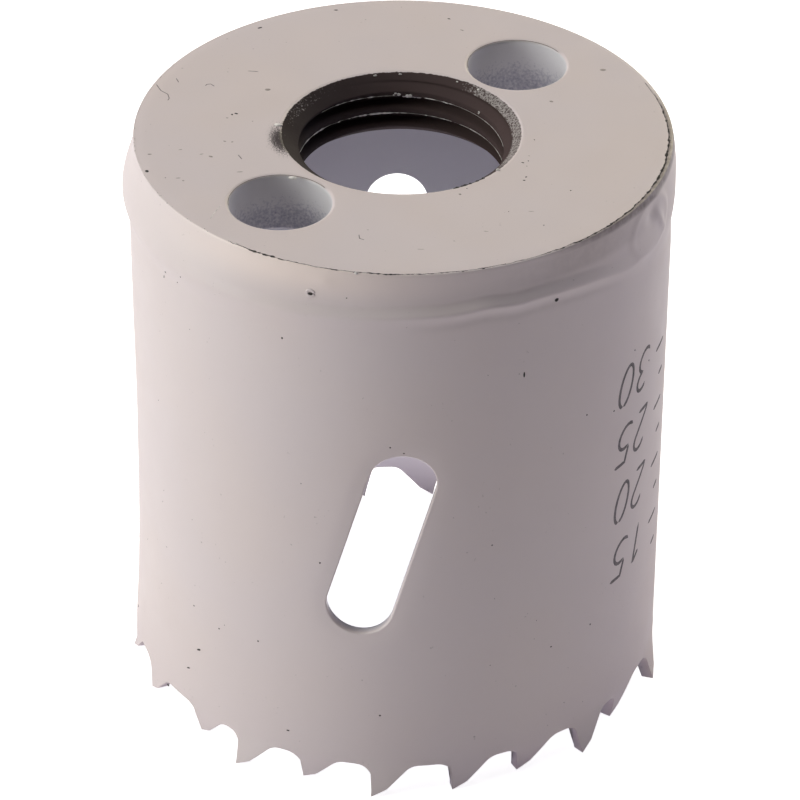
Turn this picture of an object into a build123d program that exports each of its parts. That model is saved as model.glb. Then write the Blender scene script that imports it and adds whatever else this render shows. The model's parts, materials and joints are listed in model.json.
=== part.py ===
"""Bi-metal hole saw: an end cap, a rolled cup wall and a high-speed-steel toothed edge.

The saw stands with its teeth down.  The origin is on the cap's outer face, where the
arbor's thread axis leaves it, and +Z runs along that axis, away from the teeth.
A bearing is an angle in degrees round +Z, counted from the front (-Y) towards +X.
"""
import os
from math import cos, degrees, pi, radians, sin, tan

from build123d import *

# ---- Sizes, in millimetres and degrees -------------------------------------------------

# The cup
cut_diameter = 40.0          # circle swept by the tips that lean outwards
side_set = 0.70              # how far the tip of a set tooth leans out of the wall
wall_thickness = 0.90
overall_height = 44.2        # cap face to the tips of the unset teeth

# The end cap, and the swaged top of the wall that holds it
cap_thickness = 4.5
cap_seat = 0.42              # width of the shoulder that the cap stands on
cap_gap = 0.02               # radial gap that the weld and the enamel fill
wall_lip = 0.20              # what is left of the wall round the cap's face
band_swell = 0.36            # how far the swaged band stands out beyond the wall
band_crown_depth = 3.3       # depth of the band's fullest ring below the cap's face
band_runout = 5.4            # depth at which the band has run out into the wall

# The arbor thread, 5/8 in with 18 threads to the inch, bored at its minor diameter
thread_minor_diameter = 14.5
thread_mouth_diameter = 17.0
thread_exit_diameter = 16.2

# The two drive-pin holes
pin_hole_diameter = 7.1
pin_circle_diameter = 25.4
pin_hole_count = 2
pin_hole_bearing = 139.2

# The slanted slots, through which a plug is levered out
slot_width = 4.9
slot_length = 15.9
slot_tilt = 15.6             # lean of the top of a slot, towards rising bearings
slot_centre_depth = 22.1     # below the cap's face
slot_bearing = -3.4
slot_count = 2

# The teeth: bearing of the first, and the pitch from each tooth to the next
first_tooth_bearing = -85.0
tooth_pitches = (
    15.6, 19.6, 13.7, 14.9, 15.9, 17.4, 15.6, 15.3, 13.9, 16.7, 16.2, 17.3,
    14.6, 15.4, 17.8, 16.6, 17.0, 13.9, 15.1, 14.2, 13.6, 15.3, 14.4,
)
set_cycle = (1, 0, -1, 1, -1)    # 0 straight, -1 leaning inwards, 1 leaning outwards
rake_angle = 2.0
relief_angle = 28.0
back_angle = 46.0
# The form of a tooth, in shares of the mean pitch
depth_share = 0.475          # gullet's depth below the unset tips
land_share = 0.21            # length of the relief behind a tip
gullet_radius_share = 0.228  # rounding in front of a tooth
heel_radius_share = 0.114    # rounding where a tooth's back runs out
bend_share = 0.90            # height of a tooth's bent part, in depths of a gullet
edge_land = 1.6              # high-speed steel left above the gullets

# How far a cutting solid runs past what it cuts
overrun = 1.0

# ---- Sizes that follow -----------------------------------------------------------------

wall_radius = cut_diameter / 2 - side_set
bore_radius = wall_radius - wall_thickness
pocket_radius = bore_radius + cap_seat
cap_radius = pocket_radius - cap_gap
crown_radius = wall_radius + band_swell

tooth_count = len(tooth_pitches)
pitches = [pitch * 360 / sum(tooth_pitches) for pitch in tooth_pitches]
bearings = [first_tooth_bearing + sum(pitches[:tooth]) for tooth in range(tooth_count)]
leans = [set_cycle[tooth % len(set_cycle)] for tooth in range(tooth_count)]

mean_pitch = 2 * pi * wall_radius / tooth_count
gullet_depth = depth_share * mean_pitch
gullet_radius = gullet_radius_share * mean_pitch
heel_radius = heel_radius_share * mean_pitch
land = land_share * mean_pitch

bend_height = bend_share * gullet_depth
bend_loss = bend_height - (bend_height**2 - side_set**2) ** 0.5
bend_z = bend_height - overall_height
weld_z = gullet_depth + edge_land - overall_height


# ---- Helpers ---------------------------------------------------------------------------

def side_plane(bearing, distance):
    """A plane that faces outwards at this bearing, with its x to the right and its y up."""
    out = Vector(sin(radians(bearing)), -cos(radians(bearing)), 0)
    right = Vector(cos(radians(bearing)), sin(radians(bearing)), 0)
    return Plane(origin=out * distance, x_dir=right, z_dir=out)


def turned(outline):
    """The solid that a closed outline of (radius, height) points sweeps round the axis."""
    return revolve(make_face(Plane.XZ * Polyline(*outline, close=True)), Axis.Z)


def on_chord(arc):
    """An arc length round the wall, as a distance along the flat plane that faces it."""
    return wall_radius * sin(arc / wall_radius)


# ---- The end cap -----------------------------------------------------------------------

def make_end_cap():
    """A disc with a countersunk bore for the arbor and a ring of drive-pin holes."""
    minor = thread_minor_diameter / 2
    mouth = thread_mouth_diameter / 2
    leave = thread_exit_diameter / 2
    cap = turned([
        (minor, minor - mouth),
        (mouth, 0),
        (cap_radius, 0),
        (cap_radius, -cap_thickness),
        (leave, -cap_thickness),
        (minor, leave - minor - cap_thickness),
    ])
    for number in range(pin_hole_count):
        bearing = pin_hole_bearing + number * 360 / pin_hole_count
        centre = side_plane(bearing, pin_circle_diameter / 2).origin
        cap -= Pos(centre) * Cylinder(pin_hole_diameter / 2, 2 * (cap_thickness + overrun))
    return cap


# ---- The cup wall ----------------------------------------------------------------------

def make_wall_section():
    """Half of the wall's section: a swaged band that laps the cap, and the plain wall."""
    lip = (pocket_radius + wall_lip, 0)
    crown = (crown_radius, -band_crown_depth)
    half_way = ((crown_radius + wall_radius) / 2, -(band_crown_depth + band_runout) / 2)
    runout = (wall_radius, -band_runout)
    outside = [
        TangentArc(crown, lip, tangent=(0, 1)),
        TangentArc(crown, half_way, tangent=(0, -1)),
        TangentArc(runout, half_way, tangent=(0, 1)),
    ]
    inside = Polyline(
        runout,
        (wall_radius, weld_z),
        (bore_radius, weld_z),
        (bore_radius, -cap_thickness),
        (pocket_radius, -cap_thickness),
        (pocket_radius, 0),
        lip,
    )
    return make_face(Plane.XZ * (Curve() + outside + inside))


def make_slot_cutter(bearing):
    """A round-ended slot, leaning, that passes through one side of the wall."""
    outline = Rot(0, 0, 90 - slot_tilt) * SlotOverall(slot_length, slot_width)
    face = side_plane(bearing, 0) * Pos(0, -slot_centre_depth) * outline
    return extrude(face, crown_radius + overrun)


def make_cup_wall():
    """The rolled steel strip, closed to a tube, with its slots."""
    wall = revolve(make_wall_section(), Axis.Z)
    for number in range(slot_count):
        wall -= make_slot_cutter(slot_bearing + number * 360 / slot_count)
    return wall


# ---- The toothed edge ------------------------------------------------------------------

def tip_height(tooth):
    """Height of a tooth's tip above the plane of the unset tips."""
    return bend_loss * abs(leans[tooth])


def heel(tooth):
    """How far behind a tooth's tip its back would meet the roof of the gullet."""
    land_top = tip_height(tooth) + land * tan(radians(relief_angle))
    return land + (gullet_depth - land_top) / tan(radians(back_angle))


def roof_ends(tooth):
    """The flat roof of the gullet behind a tooth, as distances behind its tip."""
    start = heel(tooth) + heel_radius * tan(radians(back_angle / 2))
    pitch = wall_radius * radians(pitches[tooth])
    lean_back = (gullet_depth - tip_height((tooth + 1) % tooth_count)) * tan(radians(rake_angle))
    return start, pitch + lean_back - gullet_radius


def cutter_at(tooth, outline, corner, radius):
    """Round one corner of a flat outline and carry it through the wall at a tooth."""
    face = make_face(Polyline(*outline, close=True))
    face = fillet(face.vertices().sort_by_distance(Vector(*corner))[0], radius)
    inside = bore_radius - side_set - overrun
    reach = wall_thickness + 2 * side_set + 2 * overrun
    plane = side_plane(bearings[tooth], inside)
    return extrude(plane * Pos(0, -overall_height) * face, reach)


def make_relief_cutter(tooth):
    """The prism that clears the land and the back behind a tooth, square to its tip."""
    tip = tip_height(tooth)
    far = on_chord(roof_ends(tooth)[1])
    corner = (on_chord(heel(tooth)), gullet_depth)
    outline = [
        (0, tip),
        (on_chord(land), tip + land * tan(radians(relief_angle))),
        corner,
        (far, gullet_depth),
        (far, -overrun),
        (0, -overrun),
    ]
    return cutter_at(tooth, outline, corner, heel_radius)


def make_gullet_cutter(tooth):
    """The prism that clears the rake face and the gullet in front of a tooth."""
    lean = tan(radians(rake_angle))
    tip = tip_height(tooth)
    before = tooth - 1
    far = on_chord(roof_ends(before)[0] - wall_radius * radians(pitches[before]))
    corner = ((gullet_depth - tip) * lean, gullet_depth)
    outline = [
        (-(tip + overrun) * lean, -overrun),
        corner,
        (far, gullet_depth),
        (far, -overrun),
    ]
    return cutter_at(tooth, outline, corner, gullet_radius)


def middle_of_roof(tooth):
    """The angle behind a tooth at which its sector of the ring ends."""
    start, end = roof_ends(tooth)
    return degrees((start + end) / 2 / wall_radius)


def make_sector(tooth):
    """One tooth, with the band above it as far as the middle of the gullet on each side."""
    lean = side_set * leans[tooth]
    tip_z = tip_height(tooth) - overall_height
    outline = [
        (bore_radius, weld_z),
        (wall_radius, weld_z),
        (wall_radius, bend_z),
        (wall_radius + lean, tip_z),
        (bore_radius + lean, tip_z),
        (bore_radius, bend_z),
    ]
    before = middle_of_roof(tooth - 1) - pitches[tooth - 1]
    behind = middle_of_roof(tooth)
    face = make_face(Plane.XZ * Polyline(*outline, close=True))
    sector = Rot(0, 0, bearings[tooth] + before - 90) * revolve(face, Axis.Z, behind - before)
    for cutter in (
        make_relief_cutter(tooth),
        make_gullet_cutter(tooth),
        make_gullet_cutter((tooth + 1) % tooth_count),
    ):
        sector -= cutter
    return sector


def make_toothed_edge():
    """A closed ring of high-speed steel with its teeth milled and then set."""
    return Part() + [make_sector(tooth) for tooth in range(tooth_count)]


# ---- Write one file for each piece -----------------------------------------------------

pieces = {
    "end_cap": make_end_cap(),
    "cup_wall": make_cup_wall(),
    "toothed_edge": make_toothed_edge(),
}

os.makedirs("parts", exist_ok=True)
for name, piece in pieces.items():
    piece.label = name
    export_step(piece, f"parts/{name}.step")
    print(f"{name}: {len(piece.solids())} solid, {piece.volume:.1f} mm3")
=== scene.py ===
# %% [markdown]
# # A bi-metal hole saw
#
# A hole saw is a steel cup with teeth round its mouth. A thick cap closes the other end, with a
# threaded hole for the arbor and two holes for its drive pins. This one is enamelled all over.
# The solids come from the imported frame. Here each of them is replaced by a surface that has what
# a plain solid lacks: a cut thread, a swaged band, enamel rolled over every edge, and its wear.
#
# The saw stands on its teeth. Its cap's face is at height 0, and +Z points out of it. All sizes
# are worked out in millimetres and turned into metres when a mesh is made.

import json

import bmesh
import bpy
import numpy as np
from mathutils import Matrix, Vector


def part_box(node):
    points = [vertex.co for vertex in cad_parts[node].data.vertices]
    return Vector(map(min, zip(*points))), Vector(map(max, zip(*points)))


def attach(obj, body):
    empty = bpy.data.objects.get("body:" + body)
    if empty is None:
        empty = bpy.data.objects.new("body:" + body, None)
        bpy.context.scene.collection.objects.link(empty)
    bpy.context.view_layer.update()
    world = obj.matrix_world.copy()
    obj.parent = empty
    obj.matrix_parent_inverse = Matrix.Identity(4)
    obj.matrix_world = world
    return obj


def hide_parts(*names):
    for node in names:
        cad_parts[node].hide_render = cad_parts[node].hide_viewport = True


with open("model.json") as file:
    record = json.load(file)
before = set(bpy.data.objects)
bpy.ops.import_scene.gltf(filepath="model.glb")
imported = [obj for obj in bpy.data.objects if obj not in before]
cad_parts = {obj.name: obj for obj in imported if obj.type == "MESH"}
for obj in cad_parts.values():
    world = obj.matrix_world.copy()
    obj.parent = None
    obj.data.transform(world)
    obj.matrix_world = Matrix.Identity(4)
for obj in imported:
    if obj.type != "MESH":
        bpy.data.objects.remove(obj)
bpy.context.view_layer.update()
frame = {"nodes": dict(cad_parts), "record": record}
print("nodes:", sorted(frame["nodes"]))

# %% [markdown]
# ## Sizes
#
# Whatever the frame knows is read from it, so that a surface can't drift from its solid. The rest
# are the sizes of the real saw that a box or a mount doesn't tell.

# %% Sizes from the frame
MM = 0.001
cap_low, cap_high = (np.array(corner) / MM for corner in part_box("end_cap"))
edge_low, edge_high = (np.array(corner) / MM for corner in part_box("toothed_edge"))
mounts = {mount["name"]: mount for mount in frame["record"]["mounts"]}

CAP_RADIUS = cap_high[0]
CAP_THICKNESS = -cap_low[2]
WELD_Z = edge_high[2]
TIP_Z = edge_low[2]
PIN_RADIUS = mounts["drive_pin_holes"]["dims"]["hole_r_mm"]
PIN_CIRCLE = mounts["drive_pin_holes"]["dims"]["pcd_mm"] / 2
CREST_RADIUS = mounts["arbor_thread"]["dims"]["r_mm"]
print(f"cap {CAP_RADIUS:.2f} x {CAP_THICKNESS:.2f} mm, weld at {WELD_Z:.2f}, tips at {TIP_Z:.2f}")

# %% Sizes of the cup
WALL_RADIUS = 19.3           # of the plain wall, below the band
WALL_THICKNESS = 0.90
BORE_RADIUS = WALL_RADIUS - WALL_THICKNESS
POCKET_RADIUS = CAP_RADIUS + 0.02     # the wall's seat round the cap
PIN_BEARINGS = (139.2, 319.2)         # degrees round +Z from the front, -Y, towards +X

SLOT_WIDTH = 4.9
SLOT_LENGTH = 15.9           # over its round ends
SLOT_TILT = 15.6             # degrees that its top leans towards rising bearings
SLOT_Z = -22.3               # height of its middle
SLOT_BEARINGS = (-3.65, 176.35)
print(f"wall {WALL_RADIUS} mm in radius, {WALL_THICKNESS} thick, slots at {SLOT_BEARINGS} degrees")

# %% [markdown]
# ## Surfaces from grids
#
# Every piece is a few patches, and a patch is a grid of points worked out from two parameters,
# all at once. Patches that share an edge use the same numbers along it, so their points fall
# together and can be merged. The merged skin is closed, and its normals are then made to point
# outwards. Corners that are really sharp, such as the hidden weld face, stay sharp by angle.

# %% Points and grids
def at(bearing, radius, z):
    """Points at a bearing in degrees, a distance from the axis and a height, in mm."""
    turn = np.radians(bearing)
    return np.stack(np.broadcast_arrays(radius * np.sin(turn), -radius * np.cos(turn), z), -1)


def grid_faces(rows, columns, first):
    """The quads between the points of a grid, numbered row by row from `first`."""
    corner = first + np.arange(rows - 1)[:, None] * columns + np.arange(columns - 1)
    return np.stack([corner, corner + 1, corner + columns + 1, corner + columns], -1).reshape(-1, 4)


# %% From patches to a piece
SHARP = np.radians(40)       # faces that meet at more than this keep a crisp edge
SAME_PLACE = 2e-7            # points closer than this, in metres, are one point


def mesh_of(name, patches):
    """One closed mesh in metres from patches of points in mm, merged where they meet."""
    points, faces, first = [], [], 0
    for patch in patches:
        rows, columns = patch.shape[:2]
        points.append(patch.reshape(-1, 3))
        faces.append(grid_faces(rows, columns, first))
        first += rows * columns
    mesh = bpy.data.meshes.new(name)
    mesh.from_pydata(np.concatenate(points) * MM, [], np.concatenate(faces))
    work = bmesh.new()
    work.from_mesh(mesh)
    bmesh.ops.remove_doubles(work, verts=work.verts, dist=SAME_PLACE)
    bmesh.ops.dissolve_degenerate(work, edges=work.edges, dist=1e-8)
    bmesh.ops.recalc_face_normals(work, faces=work.faces)
    open_edges = sum(edge.is_boundary for edge in work.edges)
    work.to_mesh(mesh)
    work.free()
    mesh.shade_smooth()
    mesh.set_sharp_from_angle(angle=SHARP)
    print(f"{name}: {len(mesh.polygons)} faces, {open_edges} open edges")
    return mesh


def make_piece(name, patches, material, *nodes):
    """A piece that rides on the saw, and stands for the CAD nodes that are named."""
    piece = bpy.data.objects.new(name, mesh_of(name, patches))
    bpy.context.scene.collection.objects.link(piece)
    piece.data.materials.append(material)
    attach(piece, "root")
    if nodes:
        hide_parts(*nodes)
    return piece


# %% Numbers at the vertices, for a material to read
def cylindrical(mesh):
    """Bearing, radius and height of every vertex of a mesh, in degrees and mm."""
    points = np.empty(len(mesh.vertices) * 3)
    mesh.vertices.foreach_get("co", points)
    x, y, z = points.reshape(-1, 3).T / MM
    return np.degrees(np.arctan2(x, -y)), np.hypot(x, y), z


def paint(mesh, name, values):
    """Store one number for each vertex, for a material to read."""
    mesh.attributes.new(name, "FLOAT", "POINT").data.foreach_set("value", values.astype(np.float32))


# %% Formulas that several pieces use
def smooth(x):
    """0 below 0, 1 above 1, and an S-curve between: three squares less two cubes."""
    x = np.clip(x, 0, 1)
    return x * x * (3 - 2 * x)


def hill(x, width):
    """A bell curve: 1 at 0, and about a third at one width."""
    return np.exp(-((x / width) ** 2))


def away(bearing, centre):
    """Degrees from one bearing to another, the short way round."""
    return (bearing - centre + 180) % 360 - 180


def soft_max(width, *values):
    """The largest value, with rounded corners: the logarithm of a sum of exponentials.

    Values that differ by much more than `width` leave the largest as it is.
    """
    return width * np.log(sum(np.exp((value - values[0]) / width) for value in values)) + values[0]


def arc(centre, radius, start, end, steps):
    """Points of a circular arc in a profile, from one angle to another."""
    angle = np.radians(np.linspace(start, end, steps + 1))
    return np.stack([centre[0] + radius * np.cos(angle), centre[1] + radius * np.sin(angle)], -1)


def window_edge(us, vs):
    """The closed outline of a rectangle of grid points, as (u, v) pairs."""
    low, high = np.full(len(us), vs[0]), np.full(len(us), vs[-1])
    left, right = np.full(len(vs), us[0]), np.full(len(vs), us[-1])
    sides = ((us, low), (right, vs), (us[::-1], high), (left, vs[::-1]))
    outline = np.concatenate([np.stack(side, -1)[:-1] for side in sides])
    return np.concatenate([outline, outline[:1]])


# %% [markdown]
# ## Finishes
#
# The enamel is sprayed and baked: satin, faintly uneven, with fine dust in it. The same mottle
# and the same ripple show wherever it lies, so both are node groups that every enamelled piece
# places with its own values. They read Object coordinates, which are metres on the saw itself,
# so nothing slides between pieces that meet at the hidden weld.

# %% Nodes and their links
def add(tree, kind, **inputs):
    """A node of a kind, with some of its inputs set by name."""
    node = tree.nodes.new(kind)
    for name, value in inputs.items():
        node.inputs[name.replace("_", " ")].default_value = value
    return node


def noise(tree, place, scale, detail=2.0):
    """The grey value of a noise pattern at a place, with features about 1 / scale metres wide."""
    node = add(tree, "ShaderNodeTexNoise", Scale=scale, Detail=detail)
    tree.links.new(place, node.inputs["Vector"])
    return node.outputs["Fac"]


def ramp(tree, value, low, high, start=0.0, end=1.0):
    """A value carried from one range to another, and held at the ends."""
    node = add(tree, "ShaderNodeMapRange")
    node.inputs["From Min"].default_value = low
    node.inputs["From Max"].default_value = high
    node.inputs["To Min"].default_value = start
    node.inputs["To Max"].default_value = end
    tree.links.new(value, node.inputs["Value"])
    return node.outputs["Result"]


def calculate(tree, operation, first, second):
    """One step of arithmetic on two values, each a socket or a number."""
    node = tree.nodes.new("ShaderNodeMath")
    node.operation = operation
    for socket, value in zip(node.inputs, (first, second)):
        if isinstance(value, bpy.types.NodeSocket):
            tree.links.new(value, socket)
        else:
            socket.default_value = value
    return node.outputs[0]


def blend(tree, share, first, second):
    """A colour between two colours, each a socket or four numbers."""
    node = tree.nodes.new("ShaderNodeMix")
    node.data_type = "RGBA"
    tree.links.new(share, node.inputs["Factor"])
    for name, colour in (("A", first), ("B", second)):
        socket = next(s for s in node.inputs if s.name == name and s.type == "RGBA")
        if isinstance(colour, bpy.types.NodeSocket):
            tree.links.new(colour, socket)
        else:
            socket.default_value = colour
    return next(s for s in node.outputs if s.type == "RGBA")


# %% Node groups
def new_group(name, inputs, outputs):
    """An empty shader group with named float inputs and typed outputs, and its two ends."""
    group = bpy.data.node_groups.new(name, "ShaderNodeTree")
    for label, value in inputs.items():
        group.interface.new_socket(label, in_out="INPUT", socket_type="NodeSocketFloat")
        group.interface.items_tree[label].default_value = value
    for label, kind in outputs.items():
        group.interface.new_socket(label, in_out="OUTPUT", socket_type=kind)
    start = group.nodes.new("NodeGroupInput")
    end = group.nodes.new("NodeGroupOutput")
    return group, start, end


def place_group(tree, group, **values):
    """A group placed in a material, with its inputs set."""
    node = tree.nodes.new("ShaderNodeGroup")
    node.node_tree = group
    for name, value in values.items():
        node.inputs[name.replace("_", " ")].default_value = value
    return node


# %% The two effects of sprayed enamel
def make_mottle():
    """Enamel mottle: a slow drift from grey to warm, a fine grain, and sparse dust."""
    group, start, end = new_group(
        "enamel mottle",
        {"Drift": 0.35, "Dust": 0.5},
        {"Warmth": "NodeSocketFloat", "Dust": "NodeSocketFloat", "Roughness": "NodeSocketFloat"},
    )
    place = group.nodes.new("ShaderNodeTexCoord").outputs["Object"]
    slow = noise(group, place, 90, 3)
    warmth = calculate(group, "MULTIPLY", ramp(group, slow, 0.35, 0.65), start.outputs["Drift"])
    group.links.new(warmth, end.inputs["Warmth"])
    grains = ramp(group, noise(group, place, 4200, 2), 0.70, 0.76)
    rare = ramp(group, noise(group, place, 520, 1), 0.56, 0.66)
    dust = calculate(group, "MULTIPLY", grains, rare)
    dust = calculate(group, "MULTIPLY", dust, start.outputs["Dust"])
    group.links.new(dust, end.inputs["Dust"])
    satin = ramp(group, noise(group, place, 260, 4), 0.3, 0.7, 0.34, 0.46)
    group.links.new(satin, end.inputs["Roughness"])
    return group


def make_ripple():
    """Enamel ripple: the orange peel of a sprayed coat, as a height for a bump."""
    group, start, end = new_group("enamel ripple", {"Peel": 1.0}, {"Height": "NodeSocketFloat"})
    place = group.nodes.new("ShaderNodeTexCoord").outputs["Object"]
    fine = calculate(group, "MULTIPLY", noise(group, place, 900, 2), 0.35)
    both = calculate(group, "ADD", noise(group, place, 300, 2), fine)
    group.links.new(calculate(group, "MULTIPLY", both, start.outputs["Peel"]), end.inputs["Height"])
    return group


mottle = make_mottle()
ripple = make_ripple()
print("groups:", mottle.name, "and", ripple.name)

# %% [markdown]
# A material is its colours, its gloss and its small relief. The enamel's colours are laid over one
# another like coats: the base with its mottle first, then whatever the place adds. Each coat is
# mixed in by a mask, a number from 0 to 1 that the mesh carries at its vertices. This lets one
# material serve a whole piece, with no hard line where a stain or a bare patch begins.

# %% The colours
ENAMEL = (0.640, 0.568, 0.562, 1)
ENAMEL_WARM = (0.660, 0.568, 0.527, 1)      # where the mottle is warmest
HOLE_ENAMEL = (0.66, 0.645, 0.66, 1)        # down the pin holes
DUST = (0.16, 0.14, 0.13, 1)
INSIDE = (0.43, 0.425, 0.47, 1)             # the thin coat inside the cup, darkened further as painted shade
# a painted highlight: the warmer, lighter tone on the band's shoulder
SHOULDER_HIGHLIGHT = (0.78, 0.67, 0.615, 1)
# a real brown stain on the wall's top edge, and painted shade on the neck and in the crease
STAIN_AND_SHADE = (0.165, 0.128, 0.125, 1)
THIN = (0.29, 0.29, 0.37, 1)                # steel that shows through a thin coat, and painted shade deeper down the pin holes
SOOT = (0.056, 0.046, 0.048, 1)
SPRAY = (0.34, 0.31, 0.295, 1)              # enamel that drifted onto bare steel
STEEL_BROWN = (0.062, 0.040, 0.036, 1)
STEEL_DARK = (0.007, 0.005, 0.0055, 1)
PEEL_HEIGHT = 0.00002                       # metres that the orange peel rises
GRAIN_HEIGHT = 0.00001                      # and the grain of a chipped or painted mark
CAP_SHEEN = 0.35                            # specular level of the cap, a little duller than most
CAP_SHEEN_TINT = (1.0, 0.88, 0.95, 1)
print("enamel:", ENAMEL[:3], "and where it is warm:", ENAMEL_WARM[:3])

# %% Parts of a material
def new_material(name):
    """A material, its node tree and its Principled shader."""
    material = bpy.data.materials.new(name)
    material.use_nodes = True
    tree = material.node_tree
    return material, tree, tree.nodes["Principled BSDF"]


def bump(tree, shader, height, distance, strength=1.0):
    """Tilt a shader's normal by a height, whose full range is `distance` metres."""
    node = add(tree, "ShaderNodeBump", Distance=distance, Strength=strength)
    tree.links.new(height, node.inputs["Height"])
    tree.links.new(node.outputs["Normal"], shader.inputs["Normal"])


def attribute(tree, name):
    """A number that the mesh carries at each vertex."""
    node = tree.nodes.new("ShaderNodeAttribute")
    node.attribute_name = name
    return node.outputs["Fac"]


def lay_enamel(tree, drift=0.35, dust=0.5):
    """The colour, roughness and height of enamel, from the two shared groups."""
    mix = place_group(tree, mottle, Drift=drift, Dust=dust)
    peel = place_group(tree, ripple, Peel=1.0)
    colour = blend(tree, mix.outputs["Warmth"], ENAMEL, ENAMEL_WARM)
    colour = blend(tree, mix.outputs["Dust"], colour, DUST)
    return colour, mix.outputs["Roughness"], peel.outputs["Height"]


# %% Enamel on the wall
def make_wall_enamel():
    """Enamel on the cup: thin and bluer inside with painted shade, a painted highlight on the shoulder,
    stained on the top edge, painted shade on the neck and in the crease.
    """
    material, tree, shader = new_material("wall enamel")
    colour, rough, height = lay_enamel(tree)
    colour = blend(tree, attribute(tree, "inside"), colour, INSIDE)
    # a painted highlight on the band's shoulder
    colour = blend(tree, attribute(tree, "shoulder_highlight"), colour, SHOULDER_HIGHLIGHT)
    place = tree.nodes.new("ShaderNodeTexCoord").outputs["Object"]
    # a real stain on the top edge, and painted shade on the neck and in the crease under the bead
    patchy = ramp(tree, noise(tree, place, 1800, 4), 0.32, 0.62, 0.72, 1.0)
    stain_and_shade = calculate(tree, "MULTIPLY", attribute(tree, "stain_and_shade"), patchy)
    tree.links.new(blend(tree, stain_and_shade, colour, STAIN_AND_SHADE), shader.inputs["Base Color"])
    tree.links.new(rough, shader.inputs["Roughness"])
    bump(tree, shader, height, PEEL_HEIGHT)
    return material


wall_enamel = make_wall_enamel()
print(wall_enamel.name, "has", len(wall_enamel.node_tree.nodes), "nodes")

# %% [markdown]
# The cap's material also has to end: the thread was plugged when the saw was sprayed, and the coat
# breaks off raggedly at its mouth. A hard threshold on the mask alone would give a smooth line. So
# a noise is added to the mask before the threshold, and the border follows the noise's grains. The
# same trick, with a finer noise, turns the drift of spray and the soot into specks.

# %% Enamel and bare steel on the cap
def speckled(tree, level, grain, threshold, softness):
    """A mask of grains: it fills up as `level`, an attribute's name, goes from 0 to 1.

    It is the attribute plus 1.5 times the noise, and grows from 0 at the threshold to 1.
    """
    total = calculate(tree, "ADD", attribute(tree, level), calculate(tree, "MULTIPLY", grain, 1.5))
    return ramp(tree, total, threshold, threshold + softness)


def make_cap_enamel():
    """Enamel on the cap and bare steel in its thread, as the attributes at its vertices say."""
    material, tree, shader = new_material("cap enamel")
    colour, rough, height = lay_enamel(tree, drift=0.5, dust=0.6)
    place = tree.nodes.new("ShaderNodeTexCoord").outputs["Object"]
    fine = noise(tree, place, 10500, 2)
    grains = noise(tree, place, 7500, 3)
    coarse = noise(tree, place, 3200, 5)
    blotchy = noise(tree, place, 5200, 4)

    colour = blend(tree, attribute(tree, "hole"), colour, HOLE_ENAMEL)
    colour = blend(tree, speckled(tree, "thin", blotchy, 1.0, 0.70), colour, THIN)
    colour = blend(tree, speckled(tree, "soot", fine, 1.10, 0.30), colour, SOOT)

    # bare steel, browner on the right and near black on the left: painted light and shade
    steel = blend(tree, attribute(tree, "brown"), STEEL_DARK, STEEL_BROWN)
    steel = blend(tree, speckled(tree, "spray", grains, 1.16, 0.30), steel, SPRAY)
    torn = calculate(tree, "MULTIPLY", coarse, 0.6)
    bare = ramp(tree, calculate(tree, "ADD", attribute(tree, "bare"), torn), 0.75, 0.87)
    tree.links.new(blend(tree, bare, colour, steel), shader.inputs["Base Color"])
    duller = calculate(tree, "MULTIPLY", bare, 0.45)
    tree.links.new(calculate(tree, "ADD", rough, duller), shader.inputs["Roughness"])
    shader.inputs["Specular IOR Level"].default_value = CAP_SHEEN
    shader.inputs["Specular Tint"].default_value = CAP_SHEEN_TINT
    pitted = calculate(tree, "MULTIPLY", coarse, bare)
    bump(tree, shader, calculate(tree, "ADD", height, pitted), PEEL_HEIGHT)
    return material


cap_enamel = make_cap_enamel()
print(cap_enamel.name, "has", len(cap_enamel.node_tree.nodes), "nodes")

# %% [markdown]
# The small marks need little: one colour, broken by a noise so that no mark looks printed.

# %% Marks, chips and paint
def make_plain(name, colour, roughness):
    """A small area's finish: one colour broken by a fine noise, as burnt or chipped enamel is."""
    material, tree, shader = new_material(name)
    place = tree.nodes.new("ShaderNodeTexCoord").outputs["Object"]
    darker = [0.55 * part for part in colour[:3]] + [1]
    broken = ramp(tree, noise(tree, place, 3000, 3), 0.35, 0.65)
    tree.links.new(blend(tree, broken, colour, darker), shader.inputs["Base Color"])
    shader.inputs["Roughness"].default_value = roughness
    bump(tree, shader, noise(tree, place, 5000, 2), GRAIN_HEIGHT)
    return material


etched = make_plain("etched line", (0.185, 0.160, 0.165, 1), 0.7)
faint = make_plain("faint mark", (0.40, 0.345, 0.32, 1), 0.6)
chipped = make_plain("chipped enamel", (0.030, 0.024, 0.022, 1), 0.8)
fleck_paint = make_plain("paint fleck", (0.80, 0.76, 0.72, 1), 0.5)
# painted shade: the dark line along the far rim of each pin hole
rim_shade_line = make_plain("pin hole rim shade", (0.23, 0.18, 0.145, 1), 0.6)
print("marks:", [finish.name for finish in (etched, faint, chipped, fleck_paint, rim_shade_line)])

# %% [markdown]
# ## The end cap
#
# The cap is a flat disc with three holes. Its face is a polar grid, whose columns start at a
# drive-pin hole. Round each pin hole a window is left out of the grid, and filled by a fan of
# lines from the hole's rim to the window's edge, so the rim is a clean circle. The hole's wall is
# a profile carried round with the same lines, from one face's rim to the other's.

# %% The faces and the drive-pin holes
RING_INNER = 8.76            # the flat part of each face, as radii
RING_OUTER = 18.0
WINDOW_HALF = 24             # degrees either side of a pin hole
PIN_LIP = 0.28               # enamel rolled into a pin hole
PIN_STRAIGHT = 0.5           # depth at which a pin hole's straight wall begins
ring_radii = np.linspace(RING_INNER, RING_OUTER, 25)
fan = np.linspace(0, 1, 8) ** 1.3           # closer together near the rim
print(f"cap faces: {len(ring_radii)} rings, {2 * WINDOW_HALF} degrees left open at each pin hole")


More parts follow.
